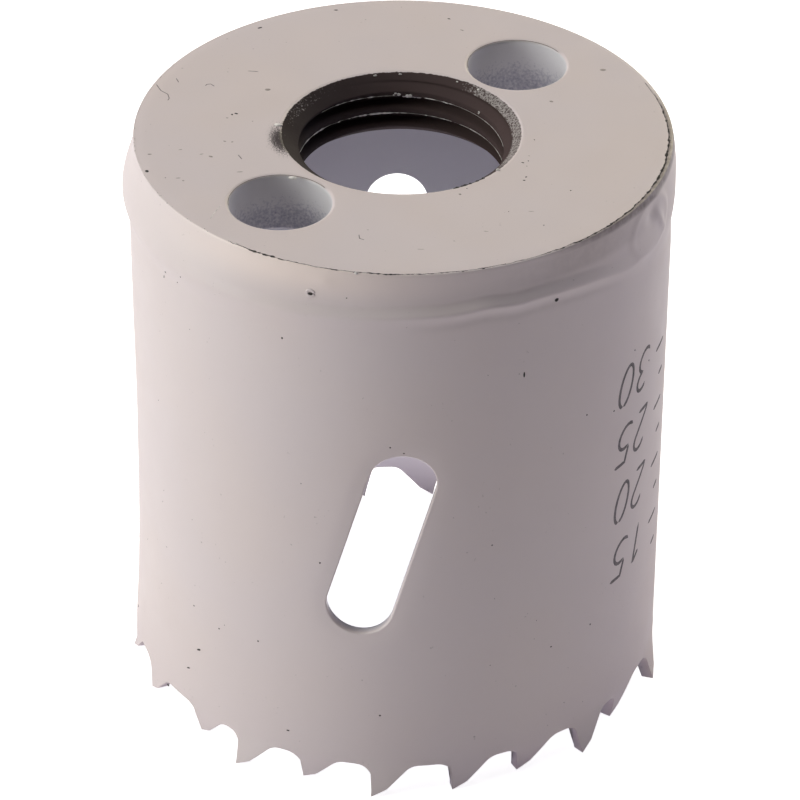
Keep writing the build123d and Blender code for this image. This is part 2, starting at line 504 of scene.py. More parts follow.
def pin_window(bearing, z):
    """A pin hole's centre, its window's edge and the directions from one to the other."""
    columns = bearing + np.arange(-WINDOW_HALF, WINDOW_HALF + 1)
    edge = window_edge(columns, ring_radii)
    edge = at(edge[:, 0], edge[:, 1], z)
    centre = at(bearing, PIN_CIRCLE, z)
    out = edge - centre
    return centre, edge, out / np.linalg.norm(out, axis=1)[:, None]


def flat_face(z):
    """A face of the cap at a height: polar grids, and a fan round each pin hole."""
    patches = []
    for bearing in PIN_BEARINGS:
        columns = bearing + np.arange(WINDOW_HALF, 181 - WINDOW_HALF)
        patches.append(at(columns[:, None], ring_radii, z))
        centre, edge, out = pin_window(bearing, z)
        rim = centre + (PIN_RADIUS + PIN_LIP) * out
        patches.append(rim + fan[:, None, None] * (edge - rim))
    return patches


def pin_hole(bearing):
    """The wall of a pin hole: a profile of (distance from its axis, height) carried round."""
    lip = PIN_RADIUS + PIN_LIP
    heights = np.linspace(-PIN_STRAIGHT, PIN_STRAIGHT - CAP_THICKNESS, 8)
    profile = np.concatenate([
        arc((lip, -PIN_LIP), PIN_LIP, 90, 180, 6),
        np.stack([0 * heights + PIN_RADIUS, heights], -1),
        arc((lip, PIN_LIP - CAP_THICKNESS), PIN_LIP, 180, 270, 6),
    ])
    centre, _, out = pin_window(bearing, 0)
    wall = centre + profile[:, :1, None] * out
    wall[..., 2] = profile[:, 1:]
    return wall


# %% [markdown]
# The outer edge is a profile carried round the axis. The bore is more: an internal thread is a
# groove that climbs as it goes round. At any bearing and height the hole's radius is the largest
# of three things: the thread's own profile, shifted by the bearing's share of the pitch, and the
# two chamfers. A softened maximum rounds the corners between them, as a coat of paint does.

# %% The thread's sizes
EDGE_ROUND = 0.01            # the cap's outer corner, which is all but sharp
PITCH = 25.4 / 18            # 18 turns to the inch
THREAD_DEPTH = 0.69
FLANK = np.radians(30)       # half of the angle between two flanks
CREST_HALF = 0.20            # half of the flat on top of a turn
CREST_Z = -1.15              # a turn's middle at the back of the bore
MOUTH_RADIUS = 8.5
MOUTH_SLOPE = 1.25           # how fast the mouth narrows as it goes down
EXIT_RADIUS = 7.85
ROOT_SOFT, CORNER_SOFT = 0.03, 0.02         # how softly the thread's root and corners turn
LIP = 0.2                    # where a chamfer's sharp corner is rounded off
around = PIN_BEARINGS[0] + np.arange(361)   # a line down the bore and the rim at each degree
print(f"thread: {PITCH:.3f} mm a turn, {THREAD_DEPTH} mm deep, crests at {CREST_RADIUS:.2f} mm")


# %% The rim and the threaded bore
def cap_rim():
    """The cap's outer edge, as a profile of (radius, height) carried round."""
    inner = CAP_RADIUS - EDGE_ROUND
    profile = np.concatenate([
        [(RING_OUTER, 0)],
        arc((inner, -EDGE_ROUND), EDGE_ROUND, 90, 0, 5),
        arc((inner, EDGE_ROUND - CAP_THICKNESS), EDGE_ROUND, 0, -90, 5),
        [(RING_OUTER, -CAP_THICKNESS)],
    ])
    return at(around[:, None], profile[:, 0], profile[:, 1])


def bore_radius(bearing, z):
    """The threaded hole's radius: a 60 degree groove that climbs, cut off by two chamfers.

    A turn's middle climbs by one pitch in a full circle. The groove deepens with the height's
    distance from the nearest turn, divided by the tangent of the flank's angle, up to the
    thread's depth. The result is never less than the crest's radius or either chamfer's.
    """
    climb = CREST_Z + PITCH * away(bearing, 180) / 360
    from_crest = np.abs((z - climb + PITCH / 2) % PITCH - PITCH / 2)
    flank = CREST_RADIUS + (from_crest - CREST_HALF) / np.tan(FLANK)
    groove = -soft_max(ROOT_SOFT, -flank, -(CREST_RADIUS + THREAD_DEPTH) + 0 * flank)
    mouth = MOUTH_RADIUS + MOUTH_SLOPE * z + 0 * bearing
    leave = EXIT_RADIUS - CAP_THICKNESS - z + 0 * bearing
    return soft_max(CORNER_SOFT, groove, CREST_RADIUS + 0 * groove, mouth, leave)


def chamfer_lip(corner, start_radius, start_z, end_radius):
    """The rounded corner between the bore and a face: a parabola through its tangents."""
    share = np.linspace(0, 1, 6)
    radius = (1 - share) ** 2 * start_radius[:, None] + 2 * share * (1 - share) * corner[0]
    z = (1 - share) ** 2 * start_z + 2 * share * (1 - share) * corner[1] + share**2 * corner[1]
    return at(around[:, None], radius + share**2 * end_radius, z)


def threaded_bore():
    """The bore between its two lips, and the lips and flats that join it to the faces."""
    high, low = -LIP * 0.7, LIP * 0.7 - CAP_THICKNESS
    heights = np.linspace(high, low, 118)
    wall = at(around[:, None], bore_radius(around[:, None], heights), heights)
    patches = [wall]
    for corner, height in (((MOUTH_RADIUS, 0), high), ((EXIT_RADIUS, -CAP_THICKNESS), low)):
        start = bore_radius(around, np.full(len(around), height))
        end = corner[0] + LIP
        patches.append(chamfer_lip(corner, start, height, end))
        patches.append(at(around[:, None], np.array([end, RING_INNER]), corner[1]))
    return patches


cap_patches = flat_face(0) + flat_face(-CAP_THICKNESS) + [pin_hole(b) for b in PIN_BEARINGS]
cap = make_piece("cap", cap_patches + [cap_rim()] + threaded_bore(), cap_enamel, "end_cap")

# %% [markdown]
# What the cap's material needs to know of the place is stored at its vertices: where the steel is
# bare (the thread, which was plugged when the saw was sprayed), where some enamel still drifted
# onto it, where the coat is thin (down the pin holes, with painted shade that deepens further
# down), where it is sooty, and how the bare steel's tone changes from side to side, which is
# painted light and shade.

# %% Where the cap's enamel is thin, sooty or missing, and where light and shade are painted
bearing, radius, z = cylindrical(cap.data)
pin_hubs = np.stack([at(b, PIN_CIRCLE, 0)[:2] for b in PIN_BEARINGS])
flat = at(bearing, radius, 0)[:, None, :2] - pin_hubs
from_pin_hub = np.hypot(flat[..., 0], flat[..., 1]).min(1)
in_pin_hole = smooth((PIN_RADIUS + 0.10 - from_pin_hub) / 0.09)
on_chamfer = smooth((z + 0.70) / 0.25)                  # the mouth, where spray could drift in
right_side = smooth((58 - np.abs(away(bearing, 100))) / 24)
left_side = hill(away(bearing, -118), 26)
# a little brown everywhere and more to the right and behind; the change from side to side is painted
# light and shade
painted_side_light = 0.75 * hill(away(bearing, 100), 55) + 0.35 * hill(away(bearing, 175), 40)
smudge = hill(away(bearing, -81), 15) * smooth((9.95 - radius) / 1.2) * (radius > 8.3)
paint(cap.data, "bare", smooth((8.66 - radius) / 0.40) * smooth((z + CAP_THICKNESS) / 0.1))
paint(cap.data, "brown", 0.25 + painted_side_light)
paint(cap.data, "spray", on_chamfer * (0.05 + 0.55 * right_side + 0.30 * left_side))
paint(cap.data, "hole", in_pin_hole)
# the thin coat down the pin holes, and painted shade that deepens further down
paint(cap.data, "thin", 0.58 * in_pin_hole * smooth((-z - 1.0) / 2.4))
paint(cap.data, "soot", 0.85 * smudge * (z > -0.3))
print("bare steel at", round(100 * float((radius < 8.6).mean())), "% of the cap's points")

# %% [markdown]
# ## The cup wall
#
# The wall is a strip of spring steel, rolled and welded to a tube. Its top is swaged over the cap
# by rollers, which leaves a band that stands out a little and is not the same all round: a high
# crown with a hollow shoulder on the left, a low and even one on the right, and a crease between.
# So the outside is a radius that depends on bearing and height, and the inside stays a cylinder.

# %% The swaged band
LIP_ROUND = 0.05             # rounding of the wall's top edge, across
LIP_DROP = 0.25              # and down
BEAD = 0.075                 # the low bead along a late step
BAND = np.array([
    # bearing, lip, crown, depth of the crown, depth of the run-out, share of a late step
    (-150, 18.99, 19.62, 3.6, 5.5, 0.0),
    (-120, 18.96, 19.72, 3.9, 5.6, 0.0),
    (-87, 18.92, 19.765, 4.0, 5.7, 0.0),
    (-60, 18.92, 19.70, 4.0, 5.7, 0.0),
    (-35, 18.93, 19.53, 3.8, 5.5, 0.2),
    (-14, 18.93, 19.44, 3.5, 5.1, 0.6),
    (3, 18.95, 19.41, 3.2, 4.3, 0.8),
    (12, 18.96, 19.41, 3.1, 4.1, 0.9),
    (18, 18.96, 19.41, 2.8, 3.8, 0.9),
    (24, 18.96, 19.41, 3.1, 4.1, 0.9),
    (29, 18.97, 19.41, 2.9, 4.0, 0.9),
    (37, 18.98, 19.41, 3.1, 4.1, 0.9),
    (45, 19.00, 19.42, 3.4, 4.5, 0.7),
    (55, 19.07, 19.42, 4.2, 5.4, 0.4),
    (70, 19.13, 19.44, 3.9, 5.9, 0.1),
    (90, 19.16, 19.455, 3.6, 6.0, 0.0),
    (130, 19.13, 19.46, 3.4, 5.8, 0.0),
    (180, 19.05, 19.52, 3.4, 5.6, 0.0),
])


def band_size(column, bearing):
    """One column of the band's table at any bearing: the mean of three places 2 degrees apart."""
    spots = (bearing - 2, bearing, bearing + 2)
    return sum(np.interp(spot, BAND[:, 0], BAND[:, column], period=360) for spot in spots) / 3


def band(bearing, z):
    """How far the band stands out of the wall: from the lip to the crown, then back to 0.

    `up` is the share of the way down from the lip to the crown. On the left the shoulder is
    hollow: an S-curve of `up`, raised to a power. On the right it is full: 1 less a power of
    what is left of the way. In front it leans in first and steps out late, to a low bead
    along its fullest ring. Below the crown an S-curve brings it back to the wall.
    """
    lip, crown, depth, run_out, step = (band_size(column, bearing) for column in range(1, 6))
    up = np.clip(-z / depth, 0, 1)
    full = smooth((away(bearing, -10) + 62) / 80) * smooth((168 - away(bearing, 10)) / 60)
    rise = (1 - full) * smooth(up) ** 1.2 + full * (1 - (1 - up) ** 2.5)
    late = smooth((up - 0.74) / 0.26) - 0.13 * hill(up - 0.45, 0.25)
    rise = (1 - step) * rise + step * late
    bead = BEAD * step * hill(z + depth, 0.28)
    above = lip + (crown - lip) * rise - WALL_RADIUS
    below = (crown - WALL_RADIUS) * (1 - smooth((-z - depth) / (run_out - depth)))
    return np.where(-z < depth, above, below) + bead


# %% [markdown]
# The swaging left more than the band. A lens-shaped bulge with a dimple marks where the ends of
# the strip were welded, the mouth is sprung open at one side, and the wall is a little waisted.
# All of these are low hills, added to the radius, each with its own middle and width.

# %% The outside and the inside of the wall
FLARE = 0.50                 # how far the mouth is sprung open at the left
WAIST = 0.09                 # how far the wall is drawn in halfway down
DRAWN_IN = 0.07              # and round a slot
LENS = (64.0, -2.35, 8.8, 2.15)             # bearing, height, and half axes in degrees and mm


def flare(bearing, z):
    """How far the wall leans out low down on the left: it grows as the square of the depth."""
    sprung = FLARE * np.clip((-30 - z) / 12.5, 0, 1) ** 2 * hill(away(bearing, -95), 32)
    waist = WAIST * hill(z + 22, 8) * hill(away(bearing, -90), 60)
    return sprung - waist


def marks_of_rolling(bearing, z):
    """The bulge with its rim, dimple and fold, a bump by the seam, a dip and slow unevenness.

    The bulge depends on the distance from the lens's middle, in half axes. Every other mark is
    a height in mm times a bell curve of the bearing, times another of the height.
    """
    reach = np.hypot(away(bearing, LENS[0]) / LENS[2], (z - LENS[1]) / LENS[3])
    bulge = 0.08 * smooth((1.1 - reach) / 0.5) + 0.06 * hill(reach - 0.92, 0.13)
    dimple = 0.20 * hill(away(bearing, 64.2), 2.3) * hill(z + 1.5, 0.65)
    fold = 0.12 * hill(away(bearing, 68.4) + 1.6 * (z + 2.7), 1.2) * hill(z + 2.7, 1.1)
    bump_by_seam = 0.07 * hill(away(bearing, -15.5), 2.2) * hill(z + 0.95, 0.45)
    dip = 0.09 * hill(z + 6.2, 0.75) * hill(away(bearing, 92), 30)
    slow = 0.012 * np.sin(np.radians(5 * bearing) + 0.5 * z) * hill(z + 3.2, 1.6)
    return bulge - dimple + fold + bump_by_seam - dip + slow


def rolled_in(bearing, z):
    """How far the punch drew the wall in round a slot: a low hill on the distance to its edge."""
    lean = np.radians(SLOT_TILT)
    drawn = 0
    for slot in SLOT_BEARINGS:
        right = WALL_RADIUS * np.radians(away(bearing, slot))
        up = z - SLOT_Z
        across = right * np.cos(lean) - up * np.sin(lean)
        along = np.abs(right * np.sin(lean) + up * np.cos(lean))
        beyond = np.maximum(along - (SLOT_LENGTH - SLOT_WIDTH) / 2, 0)
        gap = np.hypot(across, beyond) - SLOT_WIDTH / 2
        drawn = drawn + DRAWN_IN * hill(np.maximum(gap, 0), 0.65)
    return drawn


def outer_radius(bearing, z):
    """The outside of the wall: its radius, band, marks, flare and slots, and the rounded lip."""
    near_top = np.clip(1 + z / LIP_DROP, 0, 1)
    lip_fall = LIP_ROUND * (1 - np.sqrt(1 - near_top**2))
    swaged = WALL_RADIUS + band(bearing, z) + marks_of_rolling(bearing, z) - lip_fall
    return swaged + flare(bearing, z) - rolled_in(bearing, z)


def inner_radius(bearing, z):
    """The inside of the wall below the cap: a cylinder that leans out with the flare."""
    return BORE_RADIUS + flare(bearing, z)


crowns = WALL_RADIUS + np.array([band(b, -band_size(3, b)) for b in range(-180, 180, 5)])
print(f"the band's crown stands at {crowns.min():.2f} to {crowns.max():.2f} mm")


# %% [markdown]
# Each slot is a window left out of the grid of the wall, on both sides. Lines run from the slot's
# rim to the window's edge, so that the rim is one smooth oval however the grid lies. The slot was
# punched straight through, so its wall keeps the same outline from the outside to the inside. Its
# rims are rounded, outside by the enamel and inside a little less.

# %% Where the wall's grid is left open
SLOT_HALF_WINDOW = 18        # degrees either side of a slot
WINDOW_HIGH, WINDOW_LOW = -11.9, -32.3
RIM_OUT, RIM_IN = 0.13, 0.10
EDGE_COAT = 0.08             # enamel gathered on the punched edge, which narrows the slot
window_rows = np.linspace(WINDOW_HIGH, WINDOW_LOW, 53)
windows = [slot + np.arange(-SLOT_HALF_WINDOW, SLOT_HALF_WINDOW + 1.0) for slot in SLOT_BEARINGS]
fine_columns = windows[0][-1] + np.arange(0, 86, 0.5)       # closer together where the bulge is
right_columns = np.concatenate([fine_columns, np.linspace(fine_columns[-1] + 1, windows[1][0], 58)])
between = [right_columns, np.linspace(windows[1][-1], windows[0][0] + 360, 145)]
slot_fan = np.linspace(0, 1, 11) ** 1.6     # closer together near the rim
print(f"{len(windows)} windows of {len(windows[0])} columns and {len(window_rows)} rows")


# %% A slot's outline and its patches
def oval(direction, offset):
    """Points of the slot's outline grown by `offset`, where rays from its middle meet it.

    A ray meets a straight side at the radius divided by its share across the slot. Beyond the
    sides it meets the circle round an end, which is the root of a quadratic.
    """
    lean = np.radians(SLOT_TILT)
    across = direction[:, 0] * np.cos(lean) - direction[:, 1] * np.sin(lean)
    along = direction[:, 0] * np.sin(lean) + direction[:, 1] * np.cos(lean)
    radius = SLOT_WIDTH / 2 + offset
    straight = (SLOT_LENGTH - SLOT_WIDTH) / 2
    side = radius / np.maximum(np.abs(across), 1e-9)
    end = straight * np.abs(along) + np.sqrt(np.maximum(radius**2 - (straight * across) ** 2, 0))
    return np.where(side * np.abs(along) <= straight, side, end)[:, None] * direction


def slot_patches(bearing):
    """The fans round a slot outside and inside the wall, and the punched wall between them."""
    columns = bearing + np.arange(-SLOT_HALF_WINDOW, SLOT_HALF_WINDOW + 1)
    edge = window_edge(columns, window_rows)
    sides = np.sin(np.radians(edge[:, 0] - bearing))

    def flat(radius):
        return np.stack([radius * sides, edge[:, 1] - SLOT_Z], -1)

    direction = flat(WALL_RADIUS) / np.linalg.norm(flat(WALL_RADIUS), axis=1)[:, None]

    def raised(points, surface, cylinder):
        """Points of the slot's flat view, put on one of the wall's surfaces."""
        spot = bearing + np.degrees(np.arcsin(points[..., 0] / cylinder))
        z = points[..., 1] + SLOT_Z
        return at(spot, surface(spot, z), z)

    fans, wall = [], []
    for surface, cylinder, rim, inwards in (
        (outer_radius, WALL_RADIUS, RIM_OUT, -1),
        (inner_radius, BORE_RADIUS, RIM_IN, 1),
    ):
        start, end = oval(direction, rim - EDGE_COAT), flat(cylinder)
        fans.append(raised(start + slot_fan[:, None, None] * (end - start), surface, cylinder))
        turns = np.radians(np.linspace(0, 90, 5))
        for turn in turns if inwards < 0 else turns[::-1]:
            outline = oval(direction, rim * (1 - np.sin(turn)) - EDGE_COAT)
            sunk = inwards * rim * (1 - np.cos(turn))
            wall.append(raised(outline, lambda spot, z: surface(spot, z) + sunk, cylinder + sunk))
    return fans + [np.stack(wall)]


# %% One side of the wall
def wall_side(surface, rows):
    """One side of the wall: grids from `rows`, whose windows are left out round the slots."""
    above, below = rows[rows >= WINDOW_HIGH], rows[rows <= WINDOW_LOW]
    patches = []
    for columns in between:
        patches.append(at(columns[:, None], surface(columns[:, None], rows), rows))
    for columns in windows:
        for part in (above, below):
            patches.append(at(columns[:, None], surface(columns[:, None], part), part))
    return patches


# %% [markdown]
# Now the wall can be put together. Its rows lie close where the band curves, and wide on the plain
# wall. The last column of one grid has to be the first of the next, so the rings that close the
# top, the step under the cap and the hidden weld face reuse the columns of all four grids.

# %% The wall's section and its mesh
lip_rows = -LIP_DROP * (1 - np.cos(np.radians(np.linspace(0, 90, 7))))
band_rows = np.linspace(-0.35, -6.9, 54)
low_rows = np.linspace(-33.4, -38.9, 6)
outer_rows = np.concatenate([
    lip_rows, band_rows, np.linspace(-8.2, -10.7, 3), window_rows, low_rows, [WELD_Z],
])
inner_rows = np.concatenate([[-CAP_THICKNESS, -7, -9.5], window_rows, low_rows, [WELD_Z]])
ring_columns = np.concatenate([windows[0][:-1], between[0][:-1], windows[1][:-1], between[1]])[:, None]


def rings_between(*edges):
    """A grid between circles of the wall, each given as its radii and its height."""
    radii = np.concatenate([radius + 0 * ring_columns for radius, _ in edges], 1)
    return at(ring_columns, radii, np.array([z for _, z in edges]))


wall_patches = wall_side(outer_radius, outer_rows) + wall_side(inner_radius, inner_rows)
for slot in SLOT_BEARINGS:
    wall_patches += slot_patches(slot)
wall_patches.append(rings_between(
    (outer_radius(ring_columns, 0.0), 0),
    (POCKET_RADIUS + EDGE_ROUND, 0),
    (POCKET_RADIUS, -EDGE_ROUND),
    (POCKET_RADIUS, -CAP_THICKNESS),
    (inner_radius(ring_columns, -CAP_THICKNESS), -CAP_THICKNESS),
))
wall_patches.append(rings_between(
    (outer_radius(ring_columns, WELD_Z), WELD_Z),
    (inner_radius(ring_columns, WELD_Z), WELD_Z),
))
wall = make_piece("wall", wall_patches, wall_enamel, "cup_wall")

# %% [markdown]
# The wall's material needs three masks. `inside` is for the cup's inner side, where little enamel got
# in, and its darker colour there is also painted shade. `shoulder_highlight` is for the top of the band
# in front and to the left, whose warmer, lighter tone is a painted highlight. `stain_and_shade` is
# for the flat top of the wall at the right, where the enamel has worn brown. It also covers the neck
# below the top and the crease under the band's bead, which are painted shade.

# %% Where the wall is thinly coated or stained, and where light and shade are painted
bearing, radius, z = cylindrical(wall.data)
depth_in_wall = WALL_RADIUS + flare(bearing, z) - radius
towards_mouth = 1 - 0.45 * smooth((-z - 33) / 7)
# the thin coat inside, which is also painted shade, less of it towards the mouth
paint(wall.data, "inside", smooth((depth_in_wall - 0.55) / 0.3) * (z < -1) * towards_mouth)
outside = smooth((radius - POCKET_RADIUS + 0.02) / 0.02)
# the top edge is a real stain; the neck and the crease below are painted shade
top_edge = smooth((z + 0.68) / 0.40) * smooth((bearing - 26) / 26) * smooth((112 - bearing) / 16)
neck = smooth((-z - 0.1) / 0.5) * smooth((z + 2.5) / 0.7) * hill(away(bearing, 41), 16)
crown_depth = band_size(3, bearing)
late_step = smooth((away(bearing, 30) + 32) / 16) * smooth((26 - away(bearing, 30)) / 14)
creased = late_step * hill(z + crown_depth + 0.95, 0.32)
paint(wall.data, "stain_and_shade", outside * np.maximum(0.92 * top_edge, 0.30 * neck + 0.15 * creased))
# a painted highlight on the band's shoulder, in front and to the left
paint(wall.data, "shoulder_highlight", outside * smooth((z + 3.0) / 2.4) * hill(away(bearing, -22), 26))
print(f"{100 * (depth_in_wall > 0.55).mean():.0f} % of the wall's points lie on its inside")

# %% [markdown]
# ## The toothed edge
#
# The teeth are milled into a strip of high-speed steel at an uneven pitch, so that the saw doesn't
# chatter, and then set: out, straight, in, out, in, and so on. A tooth's outline is four corners,
# each rounded: its tip, the end of its relief, the heel of its back, and the gullet.

# %% The outline of the teeth
FIRST_TOOTH = -85.0
TOOTH_PITCHES = np.array([
    15.6, 19.6, 13.7, 14.9, 15.9, 17.4, 15.6, 15.3, 13.9, 16.7, 16.2, 17.3,
    14.6, 15.4, 17.8, 16.6, 17.0, 13.9, 15.1, 14.2, 13.6, 15.3, 14.4,
])
SET_CYCLE = (1, 0, -1, 1, -1)
SIDE_SET = 0.70              # how far a tooth leans out of the wall
INNER_SET = 0.50             # and into it
TIP_LOSS = 0.111             # how much the set lowers a tip
RAKE, RELIEF, BACK = np.tan(np.radians((2, 28, 46)))
GULLET_DEPTH, LAND = 2.504, 1.107
CORNER_ROUNDS = (0.04, 0.45, 1.30, 1.202)   # at the tip, land, heel and gullet
ARC_STEPS = 8                # faces round each of these corners

count = len(TOOTH_PITCHES)
pitches = TOOTH_PITCHES * 360 / TOOTH_PITCHES.sum()
starts = FIRST_TOOTH + np.concatenate([[0], np.cumsum(pitches)[:-1]])
leans = np.array([SET_CYCLE[tooth % len(SET_CYCLE)] for tooth in range(count)])
per_degree = WALL_RADIUS * np.pi / 180


def rounded(corners, radii, steps):
    """A run of corners with an arc in place of each, apart from the first and the last.

    An arc starts and ends at its radius, divided by the tangent of half the corner's angle,
    from the corner. Its points swing from the first to the last about its centre.
    """
    back = corners[:-2] - corners[1:-1]
    ahead = corners[2:] - corners[1:-1]
    back /= np.linalg.norm(back, axis=1)[:, None]
    ahead /= np.linalg.norm(ahead, axis=1)[:, None]
    half = np.arccos(np.clip((back * ahead).sum(1), -1, 1)) / 2
    reach = radii / np.tan(half)
    middle = back + ahead
    middle *= (radii / np.sin(half) / np.linalg.norm(middle, axis=1))[:, None]
    first = back * reach[:, None] - middle
    last = ahead * reach[:, None] - middle
    turn = (np.pi - 2 * half)[:, None, None]
    share = np.linspace(0, 1, steps + 1)[:, None]
    swing = np.sin((1 - share) * turn) * first[:, None] + np.sin(share * turn) * last[:, None]
    return ((corners[1:-1] + middle)[:, None] + swing / np.sin(turn)).reshape(-1, 2)


def tooth_outline():
    """Points (degrees, height over the unset tips) once round the teeth, in rising bearing."""
    tips = TIP_LOSS * np.abs(leans)
    land_top = tips + LAND * RELIEF
    heel = LAND + (GULLET_DEPTH - land_top) / BACK
    rake = (GULLET_DEPTH - tips) * RAKE
    following = np.roll(rake, -1)
    corners = np.stack([
        np.stack([0 * tips, tips], -1),
        np.stack([LAND + 0 * tips, land_top], -1),
        np.stack([heel, GULLET_DEPTH + 0 * tips], -1),
        np.stack([pitches * per_degree + following, GULLET_DEPTH + 0 * tips], -1),
    ], 1)
    corners[..., 0] += (starts * per_degree)[:, None]
    run = corners.reshape(-1, 2)
    lap = np.array([360 * per_degree, 0])
    run = np.concatenate([run[-1:] - lap, run, run[:1] + lap])
    arcs = rounded(run, np.tile(CORNER_ROUNDS, count), ARC_STEPS).reshape(-1, ARC_STEPS + 1, 2)
    parts = np.linspace(0, 1, 4)[1:-1]
    ends, begins = arcs[:, -1], np.roll(arcs[:, 0], -1, 0)
    begins[-1] += lap
    straights = ends[:, None] + parts[:, None] * (begins - ends)[:, None]
    full = np.concatenate([arcs, straights], 1).reshape(-1, 2)
    full = np.concatenate([full, full[:1] + lap])
    return np.stack([full[:, 0] / per_degree, full[:, 1]], -1)


outline = tooth_outline()
print(f"{count} teeth, {len(outline)} points round their edge")

# %% [markdown]
# The outline is carried through the wall, and lines are ruled from it up to the weld. Then every
# point is moved outwards by the set of its own tooth, more the nearer it is to the tips. Bending
# the finished ring is simpler than building each tooth at its own slant, and the gullets between
# two teeth twist from one lean to the other by themselves, as the steel does.

# %% The ring of teeth
BEND_START = WELD_Z - 1.25   # the set begins in a soft bend below here
BEND_POWER = 1.35            # and grows as this power of the way to the tips
SET_HOLDS = (-0.9, 9.5)      # degrees before and behind a tip that keep its lean
EDGE_ROLL = 0.05             # enamel rolled round the edge of the teeth


def set_of(bearing, z):
    """How far the teeth's set moves a point outwards: a soft bend, met by the wall's flare."""
    knots = np.concatenate([starts + SET_HOLDS[0], starts + SET_HOLDS[1]])
    values = np.concatenate([leans, leans])
    order = np.argsort(knots)
    knots, values = knots[order], values[order]
    knots = np.concatenate([knots[-1:] - 360, knots, knots[:1] + 360])
    values = np.concatenate([values[-1:], values, values[:1]])
    lean = np.interp(bearing, knots, values)
    down = np.clip((BEND_START - z) / (BEND_START - TIP_Z - TIP_LOSS), 0, 1.03) ** BEND_POWER
    opened = flare(bearing, z)
    leaning_out = np.maximum(SIDE_SET * lean * down, opened)
    leaning_in = INNER_SET * lean * down + opened
    return np.where(lean > 0, leaning_out, leaning_in)


def tooth_ring():
    """The ring's section carried along the outline: outside, the rolled edge, and inside."""
    along = np.gradient(outline * [per_degree, 1], axis=0)
    along[0] = along[-1] = along[0] + along[-1]
    along /= np.linalg.norm(along, axis=1)[:, None]
    into = np.stack([-along[:, 1], along[:, 0]], -1) / [per_degree, 1]
    lap = outline[-1, 0] - outline[0, 0]
    even = outline[0, 0] + np.linspace(0, lap, len(outline))
    top = np.stack([0.5 * (even + outline[:, 0]), WELD_Z - TIP_Z + 0 * even], -1)

    curve = np.radians(np.linspace(0, 90, 5))
    rolled = [(EDGE_ROLL * (1 - np.sin(t)), EDGE_ROLL * (1 - np.cos(t))) for t in curve]
    section = rolled + [(inset, WALL_THICKNESS - depth) for inset, depth in rolled[::-1]]
    rows = [(outline + inset * into, depth) for inset, depth in section]
    ruled = np.linspace(1, 0, 9)[:-1] ** 1.2
    outside = [(rows[0][0] + share * (top - rows[0][0]), 0.0) for share in ruled]
    inside = [(rows[-1][0] + share * (top - rows[-1][0]), WALL_THICKNESS) for share in ruled[::-1]]
    rows = outside + rows + inside
    flat = np.stack([row for row, _ in rows])
    depth = np.array([depth for _, depth in rows])[:, None]
    z = flat[..., 1] + TIP_Z
    return at(flat[..., 0], WALL_RADIUS - depth + set_of(flat[..., 0], z), z)


ring = tooth_ring()
teeth = make_piece("teeth", [ring, ring[[0, -1]]], wall_enamel, "toothed_edge")
bearing, radius, z = cylindrical(teeth.data)
depth_in_tooth = WALL_RADIUS + set_of(bearing, z) - radius
# the thin coat inside the teeth, which is also painted shade
paint(teeth.data, "inside", 0.55 * smooth((depth_in_tooth - 0.55) / 0.3))
print(f"tips between {radius[z < TIP_Z + 0.2].min():.2f} and {radius[z < TIP_Z + 0.2].max():.2f} mm")

# %% [markdown]
# ## Marks on the surface
#
# What makes the saw look used is small: the seam where the enamel has cracked between cap and
# wall, chips, dust, hair scratches, and paint flecks left on the thread. Each is a real little
# mesh that lies on the surface, because a texture over the whole saw would need far more detail
# to show a line a tenth of a millimetre wide. A dot is a flat lens, and a line is a flat ribbon
# that tapers at both ends. Both are closed, and half sunk in the enamel.

# %% Dots and strokes
UP = np.array([0.0, 0.0, 1.0])
rng = np.random.default_rng(7)              # seeded, so that each run gives the same marks


def frame_at(points, normals, along):
    """Unit vectors along a path and across it, in the surface."""
    along = along - (along * normals).sum(-1, keepdims=True) * normals
    along /= np.linalg.norm(along, axis=-1, keepdims=True)
    return along, np.cross(normals, along)


def dot(centre, normal, along, length, width, rise):
    """A flat lens on a surface: an ellipsoid with half axes along, across and out of it."""
    along, across = frame_at(centre, normal, along)
    turn = np.radians(np.linspace(0, 360, 11))[:, None]
    climb = np.radians(np.linspace(-90, 90, 6))
    flat = np.cos(climb)[:, None]
    ahead, aside = np.cos(turn)[..., None] * flat, np.sin(turn)[..., None] * flat
    lift = rise * np.sin(climb)[:, None]
    return centre + length * ahead * along + width * aside * across + lift * normal


def stroke(points, normals, width, rise=0.012):
    """A ribbon along a path, `width` wide at each point and 0 at both ends.

    Its section is an ellipse: the cosine of a turn across the path, and its sine out of it.
    """
    along, across = frame_at(points, normals, np.gradient(points, axis=0))
    turn = np.radians(np.linspace(0, 360, 9))[:, None, None]
    inner = np.arange(len(points)) % (len(points) - 1) > 0
    half = (0.5 * width * inner)[:, None]
    return points + np.cos(turn) * across * half + np.sin(turn) * normals * rise * (half > 0)


# %% Paths on the wall and the cap
def outwards(bearing):
    """The direction away from the axis at a bearing."""
    return at(bearing, 1.0, 0.0)


def spread(corners, steps):
    """A path through corners, with points evenly between them."""
    numbers = np.arange(len(corners))
    place = np.linspace(0, len(corners) - 1, steps * (len(corners) - 1) + 1)
    return np.stack([np.interp(place, numbers, values) for values in np.transpose(corners)], -1)


def on_wall(path):
    """Points and normals on the wall for a path of (bearing, height)."""
    bearing, z = np.moveaxis(np.asarray(path, float), -1, 0)
    return at(bearing, outer_radius(bearing, z), z), outwards(bearing)


def on_cap(path):
    """Points and normals on the cap's face for a path of (bearing, radius)."""
    bearing, radius = np.moveaxis(np.asarray(path, float), -1, 0)
    return at(bearing, radius, 0.0), np.broadcast_to(UP, bearing.shape + (3,))


